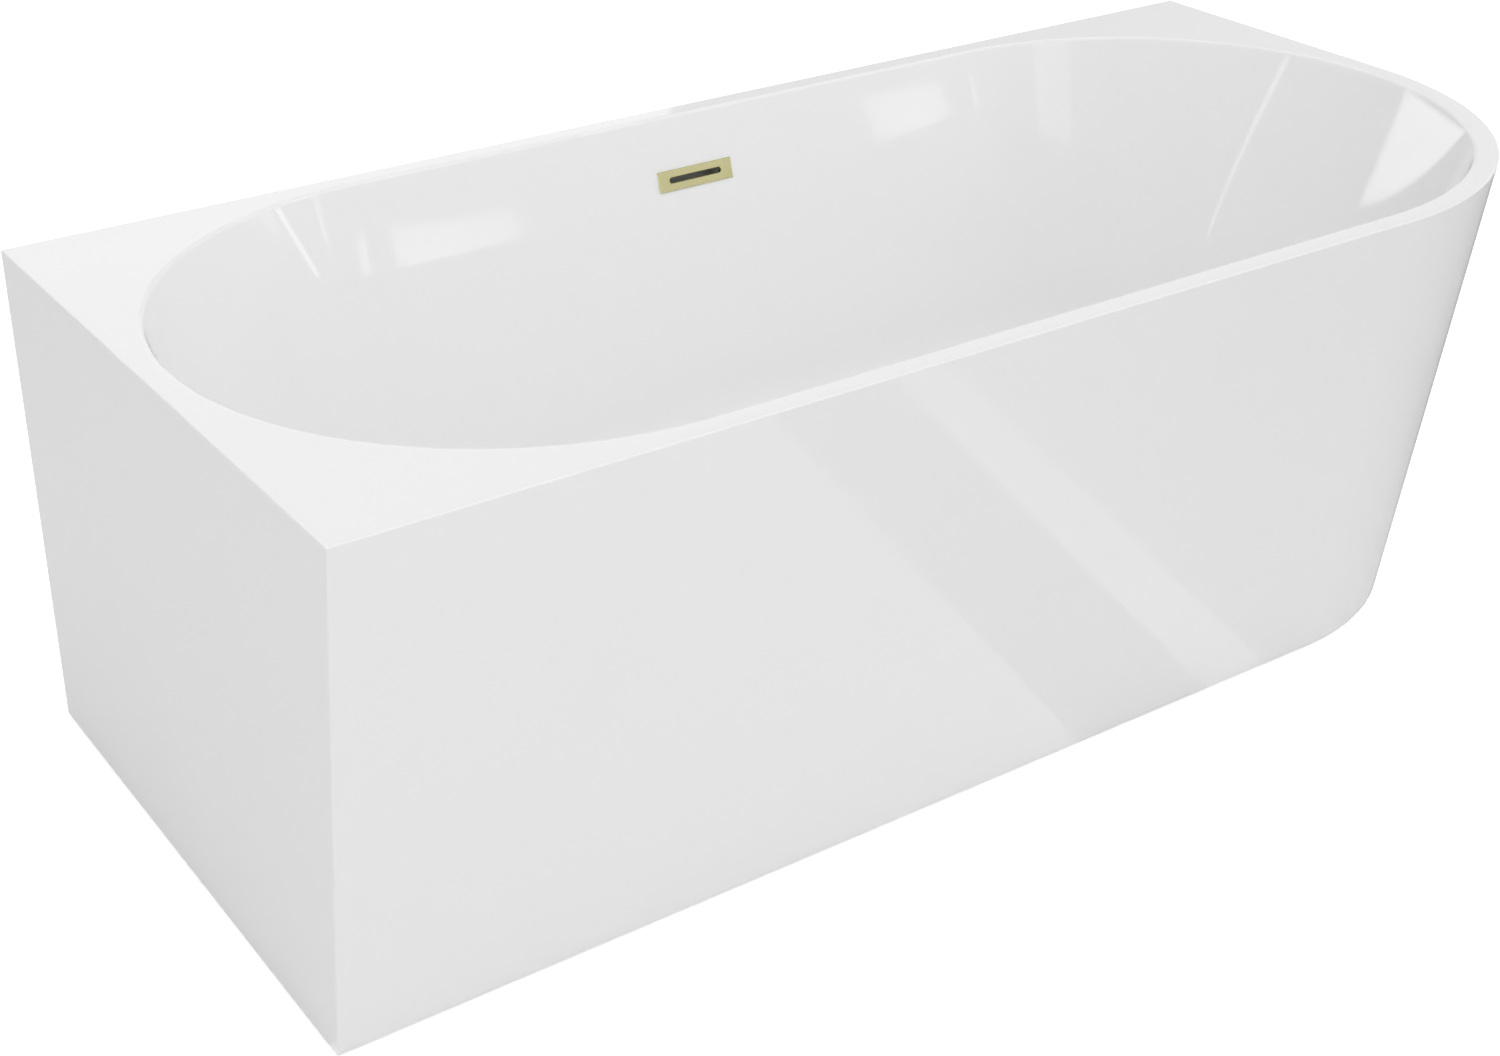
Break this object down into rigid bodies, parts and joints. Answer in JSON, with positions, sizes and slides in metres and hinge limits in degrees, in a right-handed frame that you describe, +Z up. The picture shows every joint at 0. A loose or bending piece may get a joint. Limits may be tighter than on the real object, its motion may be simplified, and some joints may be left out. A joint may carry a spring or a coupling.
{
  "type": "freestanding bathtub",
  "caption": "Back-to-wall bath with one round end: acrylic basin and drawn-in outer shell on a steel frame with levelling feet, pop-up waste and slot overflow.",
  "frame": {"origin": "on the floor, under the middle of the bath", "axes": "+X towards the round end, +Y towards the wall behind the bath, +Z up"},
  "size_m": [1.7, 0.8, 0.583],
  "materials": {
    "acrylic": "high gloss white",
    "bonding_resin": "cured resin",
    "board": "raw chipboard",
    "galvanised_steel": "galvanised",
    "bright_steel": "zinc plated",
    "dark_plastic": "moulded",
    "champagne_gold": "polished champagne gold",
    "seal_rubber": "soft",
    "hose_plastic": "corrugated",
    "white_plastic": "moulded"
  },
  "bodies": {
    "bath": {"basin": "acrylic", "outer_shell": "acrylic", "rim_bond": "bonding_resin", "corner_board_front_left": "board", "corner_board_back_left": "board", "corner_board_back_right": "board", "base_board": "board", "rail_front": "galvanised_steel", "rail_back": "galvanised_steel", "cross_tube_left": "galvanised_steel", "cross_tube_middle": "galvanised_steel", "cross_tube_right": "galvanised_steel", "end_tube": "galvanised_steel", "tube_caps": "dark_plastic", "shell_brackets": "galvanised_steel", "bracket_screws": "bright_steel", "board_screws": "bright_steel", "weld_nuts": "galvanised_steel", "waste_flange": "champagne_gold", "waste_seal_top": "seal_rubber", "waste_seal_bottom": "seal_rubber", "waste_body": "white_plastic", "plug_cartridge": "bright_steel", "plug_spring": "bright_steel", "overflow_plate": "champagne_gold", "overflow_seal": "seal_rubber", "overflow_body": "white_plastic", "overflow_nuts": "bright_steel", "overflow_hose": "hose_plastic", "hose_clip_top": "bright_steel", "hose_clip_bottom": "bright_steel", "trap_cup": "white_plastic", "trap_seal": "seal_rubber", "trap_nut": "white_plastic", "outlet_seal": "seal_rubber", "outlet_nut": "white_plastic", "outlet_pipe": "white_plastic"},
    "foot_1": {"foot_pad_1": "dark_plastic"},
    "stem_1": {"foot_stem_1": "bright_steel"},
    "foot_2": {"foot_pad_2": "dark_plastic"},
    "stem_2": {"foot_stem_2": "bright_steel"},
    "foot_3": {"foot_pad_3": "dark_plastic"},
    "stem_3": {"foot_stem_3": "bright_steel"},
    "foot_4": {"foot_pad_4": "dark_plastic"},
    "stem_4": {"foot_stem_4": "bright_steel"},
    "foot_5": {"foot_pad_5": "dark_plastic"},
    "stem_5": {"foot_stem_5": "bright_steel"},
    "plug": {"plug_cap": "champagne_gold", "plug_seal": "seal_rubber", "plug_stem": "bright_steel"}
  },
  "joints": [
    {"name": "foot_1_lift", "type": "slide", "parent": "bath", "child": "foot_1", "axis": [0, 0, -1], "range_m": [0, 0.02]},
    {"name": "foot_1_turn", "type": "hinge", "parent": "foot_1", "child": "stem_1", "pos_m": [-0.55, -0.27876, 0.06], "axis": [0, 0, -1], "range_deg": [0, 4115]},
    {"name": "foot_2_lift", "type": "slide", "parent": "bath", "child": "foot_2", "axis": [0, 0, -1], "range_m": [0, 0.02]},
    {"name": "foot_2_turn", "type": "hinge", "parent": "foot_2", "child": "stem_2", "pos_m": [-0.55, 0.34, 0.06], "axis": [0, 0, -1], "range_deg": [0, 4115]},
    {"name": "foot_3_lift", "type": "slide", "parent": "bath", "child": "foot_3", "axis": [0, 0, -1], "range_m": [0, 0.02]},
    {"name": "foot_3_turn", "type": "hinge", "parent": "foot_3", "child": "stem_3", "pos_m": [0.43, -0.27876, 0.06], "axis": [0, 0, -1], "range_deg": [0, 4115]},
    {"name": "foot_4_lift", "type": "slide", "parent": "bath", "child": "foot_4", "axis": [0, 0, -1], "range_m": [0, 0.02]},
    {"name": "foot_4_turn", "type": "hinge", "parent": "foot_4", "child": "stem_4", "pos_m": [0.43, 0.34, 0.06], "axis": [0, 0, -1], "range_deg": [0, 4115]},
    {"name": "foot_5_lift", "type": "slide", "parent": "bath", "child": "foot_5", "axis": [0, 0, -1], "range_m": [0, 0.02]},
    {"name": "foot_5_turn", "type": "hinge", "parent": "foot_5", "child": "stem_5", "pos_m": [0.71, 0, 0.06], "axis": [0, 0, -1], "range_deg": [0, 4115]},
    {"name": "plug_lift", "type": "slide", "parent": "bath", "child": "plug", "axis": [0, 0, 1], "range_m": [0, 0.009], "deforming": ["plug_spring"]}
  ],
  "couplings": [
    {"joint": "foot_1_turn", "follows": "foot_1_lift", "rad_per_m": 3590.4},
    {"joint": "foot_2_turn", "follows": "foot_2_lift", "rad_per_m": 3590.4},
    {"joint": "foot_3_turn", "follows": "foot_3_lift", "rad_per_m": 3590.4},
    {"joint": "foot_4_turn", "follows": "foot_4_lift", "rad_per_m": 3590.4},
    {"joint": "foot_5_turn", "follows": "foot_5_lift", "rad_per_m": 3590.4}
  ]
}
